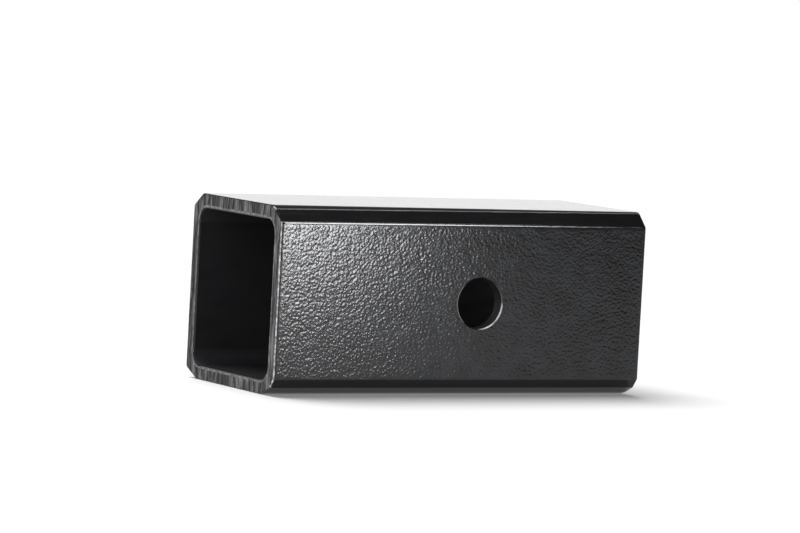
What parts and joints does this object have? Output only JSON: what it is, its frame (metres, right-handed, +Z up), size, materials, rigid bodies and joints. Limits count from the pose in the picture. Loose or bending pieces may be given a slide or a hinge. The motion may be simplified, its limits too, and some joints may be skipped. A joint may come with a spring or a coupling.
{
  "type": "hitch reducer sleeve",
  "caption": "Square steel tube sleeve with ground corner flats and a cross hole for the hitch pin; lets a smaller hitch shank fit a larger receiver.",
  "frame": {"origin": "where the pin hole's axis crosses the tube's axis", "axes": "+X along the tube, towards the end that is nearer the pin hole; +Y along the pin hole; +Z up"},
  "size_m": [0.1715, 0.0762, 0.0762],
  "materials": {
    "black_paint": "gloss black paint on sawn and ground steel tube: fine hammered texture on the wide faces, smooth on the corner flats, saw marks on the ends"
  },
  "bodies": {
    "root": {"sleeve": "black_paint"}
  },
  "joints": []
}
